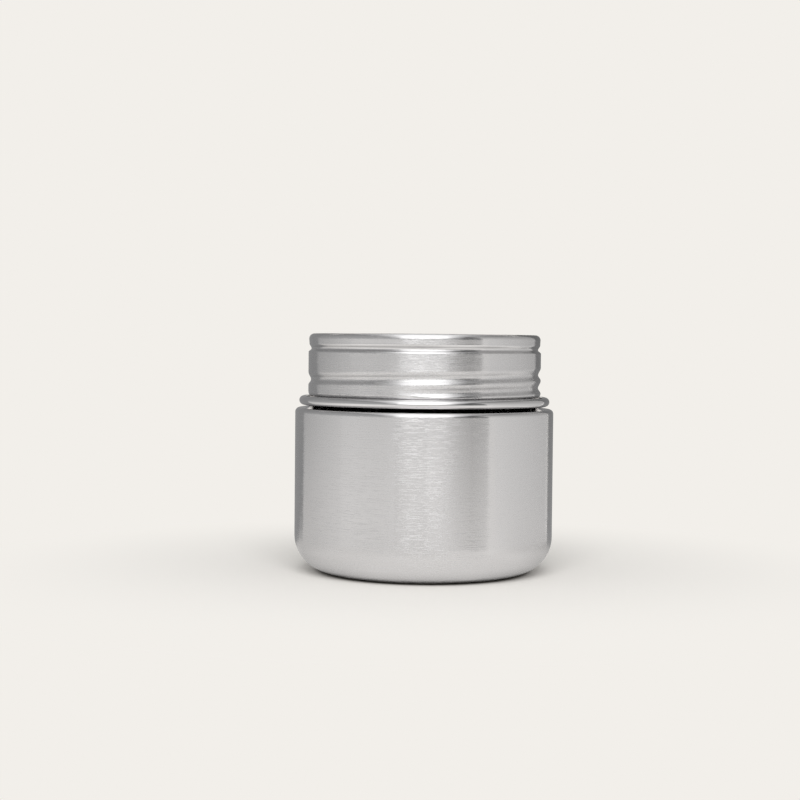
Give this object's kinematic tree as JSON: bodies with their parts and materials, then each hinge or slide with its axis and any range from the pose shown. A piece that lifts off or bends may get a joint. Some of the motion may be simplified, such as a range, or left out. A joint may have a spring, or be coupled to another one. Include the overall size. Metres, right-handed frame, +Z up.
{
  "type": "coffee canister",
  "caption": "Low round screw-lid food canister in brushed stainless steel with a rounded base, stepped neck, rolled thread, curled lid hem and an inner silicone seal ring.",
  "frame": {"origin": "centre of the base, on the surface that the canister stands on", "axes": "+Z up along the axis of the can, towards the lid; -Y towards the viewer of the picture"},
  "size_m": [0.09, 0.09, 0.0825],
  "materials": {
    "can_steel": "fine brushed round the can",
    "lid_steel": "fine brushed round the lid",
    "seal_silicone": "matt translucent silicone"
  },
  "bodies": {
    "canister": {"can": "can_steel"},
    "seal": {"seal_ring": "seal_silicone"},
    "lid": {"lid": "lid_steel"}
  },
  "joints": [
    {"name": "lid_lift", "type": "slide", "parent": "canister", "child": "seal", "axis": [0, 0, 1], "range_m": [0, 0.027]},
    {"name": "lid_turn", "type": "hinge", "parent": "seal", "child": "lid", "pos_m": [0, 0, 0.0786], "axis": [0, 0, 1], "range_deg": [0, 2160]}
  ],
  "couplings": [
    {"joint": "lid_lift", "follows": "lid_turn", "m_per_rad": 0.0007162}
  ]
}
